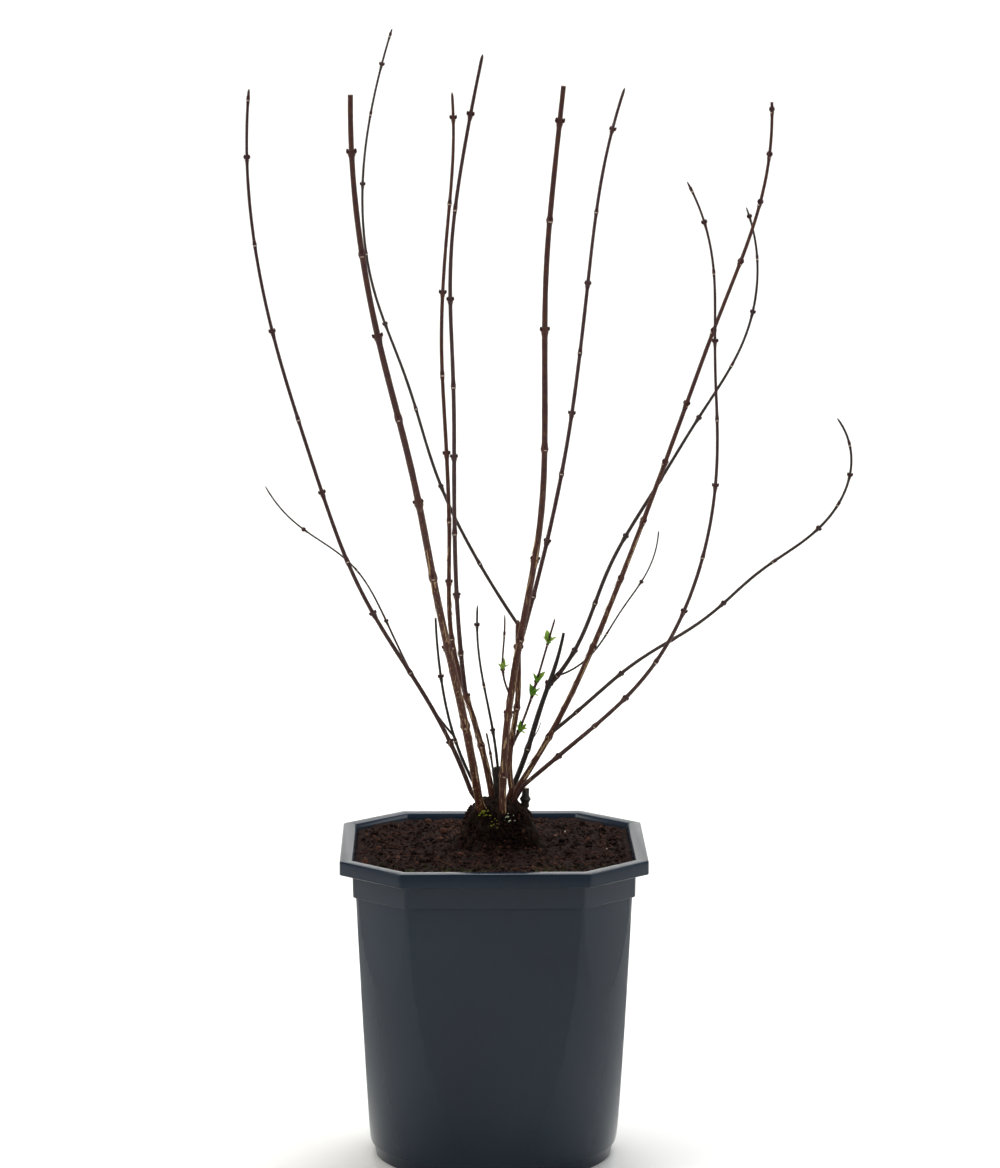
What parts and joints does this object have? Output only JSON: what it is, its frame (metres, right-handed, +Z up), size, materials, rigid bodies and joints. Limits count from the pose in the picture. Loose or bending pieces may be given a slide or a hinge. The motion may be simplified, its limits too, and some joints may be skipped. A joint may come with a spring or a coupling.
{
  "type": "bare mock orange shrub in a nursery pot",
  "caption": "Potted mock orange in early spring: bare leaning canes with paired buds and a few young leaves, on a woody stool in a dark octagonal nursery pot.",
  "frame": {"origin": "centre of the pot's flat underside, on the ground", "axes": "Z up along the canes, X to the right and Y to the back as seen from the front; metres"},
  "size_m": [0.5113, 0.3762, 0.9573],
  "materials": {
    "pot_plastic": "moulded slate-blue plastic, satin",
    "peat_fill": "loose dark peat with fibres, matt",
    "old_wood": "weathered dark wood, matt",
    "bark": "smooth red-brown bark, satin",
    "leafy": "young green leaves on a thin brown twig"
  },
  "bodies": {
    "root": {"pot": "pot_plastic", "peat": "peat_fill", "stool": "old_wood", "old_stump": "bark", "right_stump": "bark", "far_left_cane": "bark", "left_cane": "bark", "dark_left_stem": "bark", "mid_left_cane": "bark", "mid_right_cane": "bark", "centre_cane": "bark", "fork_stem": "bark", "top_shoot": "bark", "right_of_centre_cane": "bark", "stub_cane": "bark", "loop_shoot": "bark", "right_whip": "bark", "far_right_cane": "bark", "right_cane": "bark", "low_right_shoot": "bark", "left_whip": "bark", "short_stem": "bark", "grey_stub": "bark", "dry_twig": "bark", "sprouting_shoot": "leafy", "leafy_shoot": "leafy"}
  },
  "joints": []
}
